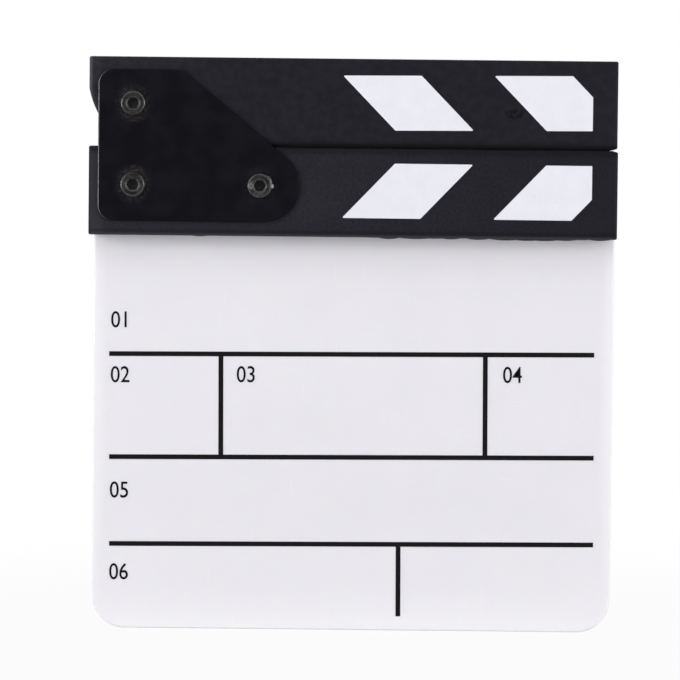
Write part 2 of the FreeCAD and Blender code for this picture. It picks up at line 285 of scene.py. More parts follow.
class Nodes:
    """The nodes of a material or world, and short calls that add to them."""

    def __init__(self, owner):
        owner.use_nodes = True
        self.nodes = owner.node_tree.nodes
        self.links = owner.node_tree.links

    def feed(self, socket, value):
        """Links a socket to another node's output, or sets it to a constant."""
        if isinstance(value, bpy.types.NodeSocket):
            self.links.new(value, socket)
        else:
            socket.default_value = value

    def add(self, kind, inputs, **settings):
        node = self.nodes.new("ShaderNode" + kind)
        for name, value in settings.items():
            setattr(node, name, value)
        for key, value in inputs.items():
            self.feed(node.inputs[key], value)
        return node

    def compute(self, operation, first, second=0.0):
        return self.add("Math", {0: first, 1: second}, operation=operation).outputs[0]

    def plus(self, first, second):
        return self.compute("ADD", first, second)

    def minus(self, first, second):
        return self.compute("SUBTRACT", first, second)

    def times(self, first, second):
        return self.compute("MULTIPLY", first, second)

    def smaller(self, first, second):
        return self.compute("MINIMUM", first, second)

    def larger(self, first, second):
        return self.compute("MAXIMUM", first, second)

    def largest(self, values):
        return functools.reduce(self.larger, values)

    def unsigned(self, value):
        return self.compute("ABSOLUTE", value)

    def ramp(self, value, low, high, out_low=0.0, out_high=1.0):
        """Smooth change from out_low to out_high as value goes from low to high."""
        inputs = {"Value": value, "From Min": low, "From Max": high, "To Min": out_low, "To Max": out_high}
        return self.add("MapRange", inputs, interpolation_type="SMOOTHSTEP").outputs["Result"]

    def seen_directly(self):
        """1 for rays from the camera, a mirror or through glass, and 0 for rays that light surfaces."""
        path = self.add("LightPath", {}).outputs
        kinds = ("Is Camera Ray", "Is Glossy Ray", "Is Transmission Ray")
        return self.largest([path[kind] for kind in kinds])


class Finish(Nodes):
    """A piece's material being built around its shader."""

    def __init__(self, name, **sockets):
        self.material = bpy.data.materials.new("finish_" + name)
        super().__init__(self.material)
        self.shader = self.nodes["Principled BSDF"]
        for socket, value in sockets.items():
            self.shader.inputs[socket.replace("_", " ")].default_value = value
        self.place = self.add("TexCoord", {}).outputs["Object"]

    def noise(self, size, detail=2.0, stretch=(1, 1, 1), turn=(0, 0, 0)):
        """Noise with features of about that size, drawn out along the axes by stretch."""
        scale = [1 / factor for factor in stretch]
        place = self.add("Mapping", {"Vector": self.place, "Rotation": turn, "Scale": scale}).outputs[0]
        return self.add("TexNoise", {"Vector": place, "Scale": 1 / size, "Detail": detail}).outputs["Fac"]

    def spread(self, noise, low=0.0, high=1.0):
        """Goes from low to high over the range that most of the noise lies in."""
        return self.ramp(noise, NOISE_LOW, NOISE_HIGH, low, high)

    def mix(self, share, first, second):
        """The first colour, going to the second as share goes from 0 to 1."""
        inputs = {"Factor": share, 6: first, 7: second}
        return self.add("Mix", inputs, data_type="RGBA").outputs[2]

    def axes(self):
        """The place's x, y and z."""
        return self.add("SeparateXYZ", {0: self.place}).outputs

    def patch(self, middle, half):
        """1 inside a ragged oval on the front, and 0 well outside it."""
        inputs = {0: self.place, 1: (middle[0], 0, middle[1])}
        shifted = self.add("VectorMath", inputs, operation="SUBTRACT").outputs[0]
        inputs = {0: shifted, 1: (1 / half[0], 0, 1 / half[1])}
        scaled = self.add("VectorMath", inputs, operation="MULTIPLY").outputs[0]
        away = self.add("VectorMath", {0: scaled}, operation="LENGTH").outputs["Value"]
        return self.ramp(self.plus(away, self.noise(0.9 * MM, 3.0)), 1.7, 1.2)

    def brown_streaked(self, colour):
        """The colour with brownish streaked patches at the screws over it, and how far they cover it."""
        patches = []
        for node, ((x, z), (half_x, half_z)) in BROWN_STREAKS.items():
            low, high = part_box(node)
            middle = ((low.x + high.x) / 2 + x * MM, (low.z + high.z) / 2 + z * MM)
            patches.append(self.patch(middle, (half_x * MM, half_z * MM)))
        cover = self.times(self.largest(patches), BROWN_STREAK_COVER)
        streaks = self.ramp(self.noise(0.45 * MM, 2.0, (5, 1, 1)), 0.45, 0.65)
        return self.mix(cover, colour, self.mix(streaks, BROWN_STREAK_DARK, BROWN_STREAK_PALE)), cover

    def distance_from(self, centre):
        """Distance from the line along Y through centre."""
        x, _, z = self.axes()
        flat = self.add("CombineXYZ", {0: x, 2: z}).outputs[0]
        inputs = {0: flat, 1: (centre.x, 0, centre.z)}
        return self.add("VectorMath", inputs, operation="DISTANCE").outputs["Value"]

    def facing(self, direction):
        """How far the surface faces a direction, from -1 to 1."""
        normal = self.add("NewGeometry", {}).outputs["Normal"]
        return self.add("VectorMath", {0: normal, 1: direction}, operation="DOT_PRODUCT").outputs["Value"]

    def colour(self, value):
        self.feed(self.shader.inputs["Base Color"], value)

    def roughness(self, value):
        self.feed(self.shader.inputs["Roughness"], value)

    def metal(self, value):
        self.feed(self.shader.inputs["Metallic"], value)

    def bump(self, height, depth):
        bumps = self.add("Bump", {"Height": height, "Distance": depth, "Strength": 1.0})
        self.feed(self.shader.inputs["Normal"], bumps.outputs["Normal"])


def slate_acrylic():
    """White acrylic sheet: clear gloss, faint wipe marks, and painted light: a painted glow near its edges
    and foot, and a paler underside painted over its shade.
    """
    finish = Finish("slate_acrylic", Specular_IOR_Level=0.5, Subsurface_Weight=0.12, Subsurface_Scale=0.002)
    x, _, z = finish.axes()
    from_sides = finish.smaller(finish.minus(x, board_low.x), finish.minus(board_high.x, x))
    from_edge = finish.smaller(from_sides, finish.times(z, 0.42))
    # Painted glow: paler near the sides and towards the bottom, for light inside the sheet
    painted_glow = finish.larger(finish.ramp(from_edge, 4.5 * MM, 0.0), finish.ramp(z, 45 * MM, 0.0, 0.0, 0.5))
    # Painted light: paler still near the foot
    painted_foot_light = finish.ramp(z, 14 * MM, 0.0, 0.0, 0.6)
    # Painted light: faces turned down, on the bottom edge, made paler over their shade
    lip = finish.ramp(finish.facing((0, 0, -1)), 0.1, 0.6)
    rim = finish.ramp(finish.unsigned(finish.facing((0, 1, 0))), 0.98, 0.85)
    clouds = finish.spread(finish.noise(22 * MM, 3.0))
    sheet = finish.mix(clouds, ACRYLIC_DARK, ACRYLIC_PALE)
    sheet = finish.mix(painted_glow, sheet, ACRYLIC_PAINTED_GLOW)
    sheet = finish.mix(painted_foot_light, sheet, ACRYLIC_PAINTED_FOOT_LIGHT)
    finish.colour(finish.mix(lip, sheet, ACRYLIC_PAINTED_UNDERSIDE_LIGHT))
    wipes = finish.noise(0.5 * MM, 2.0, (60, 1, 1), (0, math.radians(18), 0))
    swirls = finish.noise(0.4 * MM, 2.0, (1, 1, 45), (0, math.radians(-32), 0))
    scratches = finish.ramp(finish.larger(wipes, swirls), 0.66, 0.74)
    rough = finish.plus(finish.ramp(clouds, 0, 1, 0.14, 0.2), finish.times(scratches, 0.1))
    finish.roughness(finish.plus(rough, finish.times(rim, 0.35)))
    finish.bump(finish.minus(finish.times(clouds, 0.3), scratches), 0.004 * MM)
    return finish.material


def printed_ink():
    """Black screen-printed ink, a little uneven."""
    finish = Finish("printed_ink", Specular_IOR_Level=0.06)
    cover = finish.noise(0.35 * MM, 3.0)
    finish.colour(finish.mix(finish.ramp(cover, 0.35, 0.75), INK_DARK, INK_PALE))
    finish.roughness(finish.spread(cover, 0.4, 0.6))
    finish.bump(cover, 0.012 * MM)
    return finish.material


def adhesive():
    """Black cured glue, its darkness partly painted shade under the fixed stick: a smooth skin with soft
    dents.
    """
    finish = Finish("adhesive", Specular_IOR_Level=0.25)
    dents = finish.noise(0.9 * MM, 2.0)
    finish.colour(finish.mix(finish.spread(dents), GLUE_AND_SHADE_DARK, GLUE_AND_SHADE_PALE))
    finish.roughness(finish.spread(dents, 0.35, 0.55))
    finish.bump(dents, 0.08 * MM)
    return finish.material


def paint_with_painted_light(finish, tone, on_fixed):
    """The sticks' paint, painted paler towards the hinge and along the fixed stick as painted light."""
    x, _, z = finish.axes()
    clean = finish.mix(tone, PAINT_DARK, PAINT_PALE)
    lit_paint = finish.mix(tone, LIT_PAINT_DARK, LIT_PAINT_PALE)
    # Painted light: the fixed stick paler towards its hinge end and higher up, the clapper paler towards
    # the hinge, and both paler at their hinge ends
    fixed_painted_light = finish.times(on_fixed, finish.ramp(x, 68 * MM, -82 * MM))
    fixed_painted_light = finish.times(fixed_painted_light, finish.ramp(z, stick_low.z, stick_low.z + 8 * MM, 0.6, 1.0))
    hinge_painted_light = finish.ramp(x, -26 * MM, -70 * MM, 0.0, 0.5)
    end_painted_light = finish.ramp(x, stick_low.x + 5.5 * MM, stick_low.x + 0.5 * MM, 0.0, 0.6)
    painted_light_share = finish.larger(fixed_painted_light, finish.plus(hinge_painted_light, end_painted_light))
    return finish.mix(painted_light_share, clean, lit_paint)


def painted_edge_light(finish, paint, on_fixed, on_clapper):
    """The paint with painted highlights on both sticks' hinge ends, painted shade on the fixed stick's end
    face, and painted light on its foot.
    """
    x = finish.axes()[0]
    # Painted highlight at the clapper's hinge-end tip, and painted light on the fixed stick's hinge end
    tip = finish.ramp(x, stick_low.x + 1.3 * MM, stick_low.x + 0.5 * MM, 0.0, 0.8)
    paint = finish.mix(finish.times(on_clapper, tip), paint, CLAPPER_TIP_HIGHLIGHT)
    end = finish.ramp(x, stick_low.x + 5.5 * MM, stick_low.x + 2.5 * MM)
    paint = finish.mix(finish.times(on_fixed, end), paint, FIXED_END_PAINTED_LIGHT)
    # Painted shade on the fixed stick's end face, and painted light on its faces turned down
    end_face_shade = finish.ramp(finish.facing((-1, 0, 0)), 0.05, 0.6, 0.0, 0.85)
    paint = finish.mix(finish.times(on_fixed, end_face_shade), paint, FIXED_END_FACE_PAINTED_SHADE)
    painted_foot_light = finish.ramp(finish.facing((0, 0, -1)), 0.12, 0.55, 0.0, 0.8)
    return finish.mix(finish.times(on_fixed, painted_foot_light), paint, FIXED_FOOT_PAINTED_LIGHT)


def with_painted_shade(finish, paint, on_clapper):
    """The paint with painted shade where the sticks meet and in a line above the fixed stick's foot, the
    dark smudge, and painted light down in the gap itself.
    """
    z = finish.axes()[2]
    from_gap = finish.unsigned(finish.minus(z, stick_high.z))
    # Painted shade either side of the gap, deeper on the clapper's lower edge
    shade_and_smudge = finish.ramp(from_gap, 2.8 * MM, 0.8 * MM, 0.0, 0.58)
    edge_shade = finish.ramp(z, stick_high.z + 1.9 * MM, stick_high.z + 1.0 * MM)
    # Painted shade: a dark line just above the fixed stick's foot
    from_foot_line = finish.unsigned(finish.minus(z, stick_low.z + 1.3 * MM))
    foot_line_shade = finish.ramp(from_foot_line, 0.7 * MM, 0.0, 0.0, 0.4)
    blots = finish.ramp(finish.noise(1.3 * MM, 2.0), 0.42, 0.56, 0.15, 1.0)
    smudge = finish.times(finish.patch(SMUDGE_MIDDLE, SMUDGE_HALF), blots)
    smudge = finish.times(smudge, finish.ramp(finish.facing((0, -1, 0)), 0.5, 0.9))
    shade_and_smudge = finish.largest([shade_and_smudge, finish.times(on_clapper, edge_shade), foot_line_shade, smudge])
    paint = finish.mix(shade_and_smudge, paint, SHADE_AND_SMUDGE)
    # Painted light down in the gap itself, over its deepest shade
    return finish.mix(finish.ramp(from_gap, 0.5 * MM, 0.15 * MM), paint, PAINT_IN_GAP_LIGHT)


def stick_wood():
    """Black satin paint over sanded wood, with fine grain, a smudge, painted light towards the hinge and on
    the ends and foot, and painted shade where the sticks meet.
    """
    finish = Finish("stick_wood", Specular_IOR_Level=0.08)
    z = finish.axes()[2]
    on_fixed = finish.ramp(z, stick_high.z, stick_high.z - 0.1 * MM)
    on_clapper = finish.minus(1.0, on_fixed)
    stipple = finish.noise(0.25 * MM, 3.0)
    grain = finish.noise(0.7 * MM, 4.0, (28, 1, 1))
    patches = finish.noise(9 * MM, 2.0)
    fixed_mottle = finish.times(on_fixed, finish.noise(0.85 * MM, 3.0))
    mottle = finish.plus(fixed_mottle, finish.times(on_clapper, finish.noise(2.4 * MM, 4.0)))
    coarse = finish.plus(finish.times(mottle, 0.55), finish.times(patches, 0.2))
    tone = finish.ramp(finish.plus(coarse, finish.times(stipple, 0.25)), 0.36, 0.64)
    paint = paint_with_painted_light(finish, tone, on_fixed)
    paint = painted_edge_light(finish, paint, on_fixed, on_clapper)
    finish.colour(with_painted_shade(finish, paint, on_clapper))
    finish.roughness(finish.ramp(stipple, 0.25, 0.75, 0.42, 0.62))
    fibres = finish.plus(finish.times(grain, 0.8), finish.times(mottle, 0.8))
    finish.bump(finish.plus(stipple, fibres), 0.03 * MM)
    return finish.material


def white_marking():
    """White printed film over the stick's stipple, with a few pits."""
    finish = Finish("white_marking", Specular_IOR_Level=0.3)
    stipple = finish.noise(0.25 * MM, 3.0)
    film = finish.mix(finish.spread(finish.noise(4 * MM, 3.0)), FILM_DARK, FILM_PALE)
    pits = finish.ramp(finish.noise(0.5 * MM, 0.0), 0.2, 0.15)
    finish.colour(finish.mix(pits, film, FILM_PIT))
    finish.roughness(finish.spread(stipple, 0.45, 0.6))
    finish.bump(stipple, 0.015 * MM)
    return finish.material


def plate_metal():
    """Smooth black coating on steel, scuffed and painted paler round the screws, with bare bright metal
    along its left edge as a painted highlight.
    """
    finish = Finish("plate_metal", Specular_IOR_Level=0.04)
    skin = finish.noise(0.4 * MM, 3.0)
    clouds = finish.noise(6 * MM, 3.0)
    coat = finish.mix(finish.spread(clouds), COAT_DARK, COAT_PALE)
    # Scuffs round the screws, paler nearest the heads also as painted light over their contact shade
    scuffs_and_light = []
    for node, most in SCUFFS_AND_LIGHT.items():
        low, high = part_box(node)
        away = finish.distance_from((low + high) / 2)
        scuffs_and_light.append(finish.ramp(away, 6.2 * MM, 3.4 * MM, 0.0, most))
    rubs = finish.ramp(finish.noise(0.8 * MM, 3.0), 0.4, 0.75, 0.2, 1.0)
    coat = finish.mix(finish.times(finish.largest(scuffs_and_light), rubs), coat, COAT_SCUFF_AND_LIGHT)
    coat, _ = finish.brown_streaked(coat)
    # Painted highlight: the left-facing edge made bare bright metal, for the light from the left
    lit_left_edge = finish.ramp(finish.facing((-1, 0, 0)), 0.12, 0.5)
    wear_and_highlight = finish.times(lit_left_edge, finish.ramp(finish.noise(1.2 * MM, 2.0), 0.2, 0.5, 0.7, 1.0))
    finish.colour(finish.mix(wear_and_highlight, coat, COAT_PAINTED_HIGHLIGHT))
    finish.metal(wear_and_highlight)
    finish.roughness(finish.spread(skin, 0.3, 0.42))
    finish.bump(finish.plus(skin, clouds), 0.006 * MM)
    return finish.material


def screw_steel():
    """Black oxide on steel, worn bright where the mesh says so, with painted shade down in the socket and
    on the head's side near the plate.
    """
    finish = Finish("screw_steel", Specular_IOR_Level=0.06)
    wear = finish.add("Attribute", {}, attribute_name="wear").outputs["Fac"]
    blotches = finish.noise(0.5 * MM, 3.0)
    worn = finish.times(wear, finish.ramp(blotches, 0.3, 0.62, 0.4, 1.15))
    oxide = finish.mix(finish.spread(blotches), OXIDE_DARK, OXIDE_PALE)
    y = finish.axes()[1]
    # Painted shade: darker deeper in the socket and towards the plate
    socket_shade = finish.ramp(y, plate_low.y - 2.3 * MM, plate_low.y - 1.2 * MM, 0.0, 0.55)
    in_head = finish.ramp(y, plate_low.y + 0.1 * MM, plate_low.y - 0.1 * MM)
    oxide = finish.mix(finish.times(socket_shade, in_head), oxide, OXIDE_PAINTED_SHADE)
    steel = finish.mix(worn, oxide, STEEL_WORN)
    steel = finish.mix(finish.ramp(worn, 0.9, 1.7), steel, STEEL_BRIGHT)
    colour, brown_streaked = finish.brown_streaked(steel)
    finish.colour(colour)
    finish.metal(finish.minus(1.0, brown_streaked))
    finish.roughness(finish.spread(blotches, 0.3, 0.45))
    finish.bump(blotches, 0.012 * MM)
    return finish.material


def zinc_steel():
    """Bright zinc plating: a bluish grey with a fine crystal mottle and brushed marks."""
    finish = Finish("zinc_steel", Metallic=1.0)
    mottle = finish.noise(0.6 * MM, 4.0)
    brushed = finish.noise(0.08 * MM, 2.0, (1, 14, 1))
    finish.colour(finish.mix(finish.spread(mottle), ZINC_DARK, ZINC_PALE))
    finish.roughness(finish.spread(mottle, 0.24, 0.42))
    finish.bump(finish.plus(mottle, finish.times(brushed, 0.5)), 0.01 * MM)
    return finish.material


def nylon():
    """Natural nylon: milky and waxy."""
    finish = Finish("nylon", Specular_IOR_Level=0.4, Subsurface_Weight=0.25, Subsurface_Scale=0.001)
    milk = finish.noise(0.7 * MM, 2.0)
    finish.colour(finish.mix(finish.spread(milk), NYLON_DARK, NYLON_PALE))
    finish.roughness(finish.spread(milk, 0.4, 0.5))
    finish.bump(milk, 0.01 * MM)
    return finish.material


def new_object(name, data):
    """An object in the scene that holds the data."""
    made = bpy.data.objects.new(name, data)
    bpy.context.scene.collection.objects.link(made)
    return made


def hexagon(across_flats):
    """The radii of a hexagon with two corners level with its centre."""
    return [across_flats / 2 / math.cos(angle % (math.pi / 3) - math.pi / 6) for angle in ANGLES]


def all_round(value):
    """The values at the angles of a ring, given as such a list or as one number for all of them."""
    return value if isinstance(value, list) else [value] * SEGMENTS


def around(centre, radii, depths):
    """A ring of points about the line along Y through centre."""
    return [
        Vector((centre.x + radius * math.cos(angle), y, centre.z + radius * math.sin(angle)))
        for angle, radius, y in zip(ANGLES, all_round(radii), all_round(depths))
    ]


def loft(name, rings, closed=False):
    """A mesh object through rings of equal count: a loop where closed, or else capped at both ends."""
    count = len(rings[0])
    points = [point for ring in rings for point in ring]
    starts = [count * i for i in range(len(rings))]
    pairs = list(zip(starts, starts[1:]))
    if closed:
        pairs.append((starts[-1], starts[0]))
    faces = [
        (near + i, near + (i + 1) % count, far + (i + 1) % count, far + i)
        for near, far in pairs
        for i in range(count)
    ]
    if not closed:
        faces += [tuple(range(count)), tuple(range(starts[-1], starts[-1] + count))]
    mesh = bpy.data.meshes.new(name)
    mesh.from_pydata(points, [], faces)
    shaped = bmesh.new()
    shaped.from_mesh(mesh)
    bmesh.ops.recalc_face_normals(shaped, faces=shaped.faces)
    shaped.to_mesh(mesh)
    shaped.free()
    mesh.shade_smooth()
    mesh.set_sharp_from_angle(angle=SMOOTH_ANGLE)
    return new_object(name, mesh)


def fit(piece, body, slot, *stands_for):
    """Puts a piece on its body, with its slot's finish, in place of the nodes that it stands for."""
    piece.data.materials.append(finishes[slot])
    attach(piece, body)
    if stands_for:
        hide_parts(*stands_for)


def spots(places):
    """At each angle of a ring, the height of the tallest of some spots: (middle, half width, height)."""
    heights = []
    for angle in ANGLES:
        height = 0.0
        for middle, half_width, top in places:
            away = abs((math.degrees(angle) - middle + 180) % 360 - 180) / half_width
            height = max(height, top * math.sqrt(max(0.0, 1 - away**2)))
        heights.append(height)
    return heights


def thread_radius(turns):
    """The screw's radius at a place along its thread: a vee with flat crests, one turn apart."""
    from_root = abs(turns % 1.0 - 0.5) * 2
    return SHANK_RADIUS - THREAD_DEPTH * max(0.0, 1 - from_root / (1 - THREAD_CREST_SHARE))


def thread(start, tip):
    """The stations of a cut thread, from the shank where it runs out to the chamfered tip."""
    stations = []
    steps = math.ceil((tip - start) / THREAD_PITCH * THREAD_STEPS)
    for i in range(1, steps + 1):
        y = start + (tip - start) * i / steps
        depth_share = min(1.0, (y - start) / THREAD_RUN_OUT)
        limit = SHANK_RADIUS - max(0.0, y - (tip - TIP_CHAMFER))
        cut = [thread_radius(y / THREAD_PITCH - angle / (2 * math.pi)) for angle in ANGLES]
        radii = [min(limit, SHANK_RADIUS + (radius - SHANK_RADIUS) * depth_share) for radius in cut]
        stations.append((radii, y, THREAD_WEAR))
    return stations


def socket_screw(node, thread_start):
    """A low-head screw with a hexagon socket: stations of radius, depth and wear, from the socket's point
    out over the head and along the shank to the tip."""
    low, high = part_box(node)
    face, seat, tip = low.y, plate_low.y, high.y
    floor_depth = face + SOCKET_DEPTH
    head = (high.x - low.x) / 2
    rim = head - HEAD_CHAMFER
    socket = hexagon(SOCKET_ACROSS_FLATS)
    mouth = [face + (LEAD_IN_RADIUS - radius) * LEAD_IN_SLOPE for radius in socket]
    side = [head + burr * MM for burr in spots(HEAD_BURRS.get(node, ()))]
    shoulder = [radius - SHOULDER_EASE for radius in side]
    wear_and_highlight = [max(FACE_WEAR, rub) for rub in spots(HEAD_RUBS.get(node, ()))]
    burred = [SIDE_WEAR + min(BURR_WEAR_MOST, BURR_WEAR_PER_MM * (radius - head) / MM) for radius in side]
    stations = [
        (EDGE_BREAK, floor_depth + SOCKET_POINT, 0.0),
        (SOCKET_ACROSS_FLATS / 2, floor_depth, 0.0),
        (socket, floor_depth, 0.0),
        (socket, [y + EDGE_BREAK for y in mouth], SOCKET_WALL_WEAR),
        (socket, mouth, SOCKET_MOUTH_WEAR),
        (LEAD_IN_RADIUS - EDGE_BREAK / 2, face + EDGE_BREAK / 2, SOCKET_MOUTH_WEAR),
        (LEAD_IN_RADIUS + EDGE_BREAK, face, FACE_INNER_WEAR),
        (LEAD_IN_RADIUS + 2 * EDGE_BREAK, face, wear_and_highlight),
        (rim - 2 * EDGE_BREAK, face, wear_and_highlight),
        (rim - EDGE_BREAK, face, FACE_OUTER_WEAR),
        (rim + EDGE_BREAK / 2, face + EDGE_BREAK / 2, RIM_WEAR),
        (shoulder, face + HEAD_CHAMFER - EDGE_BREAK, [max(RIM_WEAR, wear) for wear in burred]),
        (side, face + HEAD_CHAMFER + EDGE_BREAK, burred),
        (side, seat - EDGE_BREAK, burred),
        (shoulder, seat, SEAT_WEAR),
        (SHANK_RADIUS, seat, 0.0),
        (SHANK_RADIUS, thread_start, 0.0),
        *thread(thread_start, tip),
        (SHANK_RADIUS - TIP_CHAMFER - EDGE_BREAK, tip, TIP_WEAR),
    ]
    centre = (low + high) / 2
    piece = loft(node + "_finished", [around(centre, radii, depths) for radii, depths, _ in stations])
    wear = piece.data.attributes.new("wear", "FLOAT", "POINT")
    wear.data.foreach_set("value", [share for _, _, shares in stations for share in all_round(shares)])
    fit(piece, "slate", "screw_steel", node)


def rounded_ring(node, bore, slot):
    """A flat ring about Y with its edges rounded off: a washer, or the lock nut's nylon ring."""
    low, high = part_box(node)
    outer = (high.x - low.x) / 2
    front, back = low.y, high.y
    half = RING_EDGE * (1 - math.sqrt(0.5))
    profile = []
    for radius, inward in ((outer, -1), (bore, 1)):
        wall = [
            (radius + inward * RING_EDGE, front),
            (radius + inward * half, front + half),
            (radius, front + RING_EDGE),
            (radius, back - RING_EDGE),
            (radius + inward * half, back - half),
            (radius + inward * RING_EDGE, back),
        ]
        profile += wall if inward < 0 else wall[::-1]
    centre = (low + high) / 2
    piece = loft(node + "_finished", [around(centre, *station) for station in profile], closed=True)
    fit(piece, "slate", slot, node)


def hexagon_nut(node, crown):
    """A nut with chamfered corners, closed over the top by the rings of its crown."""
    low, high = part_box(node)
    front = low.y
    back = front + NUT_HEIGHT
    flat = NUT_ACROSS_FLATS / 2
    sides = hexagon(NUT_ACROSS_FLATS)
    corner = max(sides)
    drop = [NUT_CHAMFER * (radius - flat) / (corner - flat) for radius in sides]
    eased = [radius - NUT_EASE for radius in sides]
    stations = [
        (NUT_BORE_RADIUS, front + NUT_BORE_BREAK),
        (NUT_BORE_RADIUS + NUT_BORE_BREAK, front),
        (flat - EDGE_BREAK, front),
        (eased, [front + y + NUT_EASE for y in drop]),
        (sides, [front + y + EDGE_BREAK for y in drop]),
        (sides, [back - y - EDGE_BREAK for y in drop]),
        (eased, [back - y - NUT_EASE for y in drop]),
        (flat - EDGE_BREAK, back),
    ]
    stations += [(radius, back + rise) for radius, rise in crown]
    centre = (low + high) / 2
    piece = loft(node + "_finished", [around(centre, *station) for station in stations], closed=True)
    fit(piece, "slate", "zinc_steel", node)


def plate_nut(node):
    """A plain nut with its bore broken at the back."""
    hexagon_nut(node, [(NUT_BORE_RADIUS + NUT_BORE_BREAK, 0.0), (NUT_BORE_RADIUS, -NUT_BORE_BREAK)])


def lock_nut(node):
    """A nut whose collar is rolled in over the nylon ring."""
    low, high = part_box(node)
    top = high.y - low.y - NUT_HEIGHT
    lip = top - COLLAR_LIP
    outer = COLLAR_POCKET_RADIUS + COLLAR_WALL
    inner = COLLAR_POCKET_RADIUS - COLLAR_WALL
    crown = [(outer + EDGE_BREAK, 0.0), (outer, EDGE_BREAK), (outer, lip)]
    for step in range(1, COLLAR_LIP_STEPS + 1):
        turn = math.radians(90 * step / COLLAR_LIP_STEPS)
        crown.append((outer - COLLAR_WALL * (1 - math.cos(turn)), lip + COLLAR_LIP * math.sin(turn)))
    crown += [(inner + EDGE_BREAK, top), (inner, top - EDGE_BREAK), (inner, lip)]
    crown += [(COLLAR_POCKET_RADIUS, lip), (COLLAR_POCKET_RADIUS, 0.0), (NUT_BORE_RADIUS, 0.0)]
    hexagon_nut(node, crown)


def front_corners(node):
    """The corners of a flat convex node's front face, in order round its middle, as (x, z)."""
    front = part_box(node)[0].y
    points = [vertex.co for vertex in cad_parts[node].data.vertices]
    flat = [point for point in points if point.y < front + FACE_TOLERANCE]
    places = {(round(point.x, PLACE_DIGITS), round(point.z, PLACE_DIGITS)) for point in flat}
    middle = [sum(values) / len(places) for values in zip(*places)]
    return sorted(places, key=lambda place: math.atan2(place[1] - middle[1], place[0] - middle[0]))


def rounded_outline(corners, radius):
    """The outline of a convex polygon with rounded corners."""
    outline = []
    for i, corner in enumerate(corners):
        here = Vector(corner)
        back = (Vector(corners[i - 1]) - here).normalized()
        ahead = (Vector(corners[(i + 1) % len(corners)]) - here).normalized()
        half_angle = back.angle(ahead) / 2
        centre = here + (back + ahead).normalized() * radius / math.sin(half_angle)
        start = (here + back * radius / math.tan(half_angle) - centre).normalized()
        end = (here + ahead * radius / math.tan(half_angle) - centre).normalized()
        for step in range(MARK_CORNER_STEPS + 1):
            outline.append(centre + start.slerp(end, step / MARK_CORNER_STEPS) * radius)
    return outline


def mark(node, body):
    """A white mark with its printed corners a little round."""
    low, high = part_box(node)
    outline = rounded_outline(front_corners(node), MARK_CORNER_RADIUS)
    rings = [[Vector((x, y, z)) for x, z in outline] for y in (high.y, low.y)]
    fit(loft(node + "_finished", rings), body, "white_marking", node)


def glue_section(x, drop):
    """The glue's outline across the joint: down the slate, out to the stick, and up round its edge."""
    slate = board_low.y
    stick = stick_high.y + GLUE_CLEARANCE
    bottom = stick_low.z - GLUE_CLEARANCE
    edge_y = stick - STICK_EDGE_RADIUS
    edge_z = bottom + STICK_EDGE_RADIUS
    reach = edge_y - drop * GLUE_REACH_SHARE
    quarter = [math.pi / 2 * i / GLUE_ROUND_STEPS for i in range(GLUE_ROUND_STEPS + 1)]
    points = [(slate, bottom + GLUE_RISE)]
    for turn in quarter:
        points.append((slate + (reach - slate) * math.sin(turn), bottom - drop * math.cos(turn)))
    for turn in quarter:
        y = edge_y + STICK_EDGE_RADIUS * math.sin(turn)
        z = edge_z - STICK_EDGE_RADIUS * math.cos(turn)
        points.append((y, z))
    points.append((stick, bottom + GLUE_RISE))
    return [Vector((x, y, z)) for y, z in points]


def glue_and_shade_bead():
    """One uneven line of glue under the fixed stick, with a few lumps that hang lower, sized also as
    painted shade along its bottom edge.
    """
    draw = random.Random(GLUE_SEED)
    start = board_low.x + GLUE_END_MARGIN
    length = board_high.x - GLUE_END_MARGIN - start
    count = round(length / GLUE_STEP)
    waves = [(draw.uniform(*GLUE_WAVE_SIZES), draw.uniform(0, GLUE_WAVE_PHASE)) for _ in range(GLUE_WAVES)]
    rings = []
    for i in range(count + 1):
        x = start + length * i / count
        wave = sum(math.sin(x / size + phase) for size, phase in waves)
        drop = GLUE_THIN_DROP * (GLUE_WAVE_MEAN + GLUE_WAVE_SHARE * wave)
        for middle, half_width, depth in GLUE_AND_SHADE_LUMPS:
            away = abs(x - middle * MM) / (half_width * MM)
            if away < 1:
                drop = max(drop, depth * MM * (1 - away**2) ** GLUE_LUMP_POWER)
        rings.append(glue_section(x, drop))
    fit(loft("glue_and_shade_bead", rings), "slate", "adhesive")


def field_number(text, left, baseline):
    """A plain printed number on the slate, in place of the form's words."""
    curve = bpy.data.curves.new("field_number_" + text, "FONT")
    curve.body = text
    curve.offset = NUMBER_BOLDNESS
    # Any depth but zero: the print's thickness is scaled from it below
    curve.extrude = 0.5
    source = new_object("number_source", curve)
    depsgraph = bpy.context.evaluated_depsgraph_get()
    mesh = bpy.data.meshes.new_from_object(source.evaluated_get(depsgraph))
    bpy.data.objects.remove(source)
    xs, ys, zs = zip(*[vertex.co for vertex in mesh.vertices])
    up = NUMBER_HEIGHT / (max(ys) - min(ys))
    through = NUMBER_THICKNESS / (max(zs) - min(zs))
    across = up * NUMBER_NARROWING
    turn = Matrix.Rotation(NUMBER_TURN, 3, (0, -1, 0))
    start = Vector((left, board_low.y, baseline))
    for vertex in mesh.vertices:
        x, y, z = vertex.co
        place = Vector(((x - min(xs)) * across, -(z - min(zs)) * through, (y - min(ys)) * up))
        vertex.co = start + turn @ place
    mesh.update()
    fit(new_object("field_number_" + text, mesh), "slate", "printed_ink")


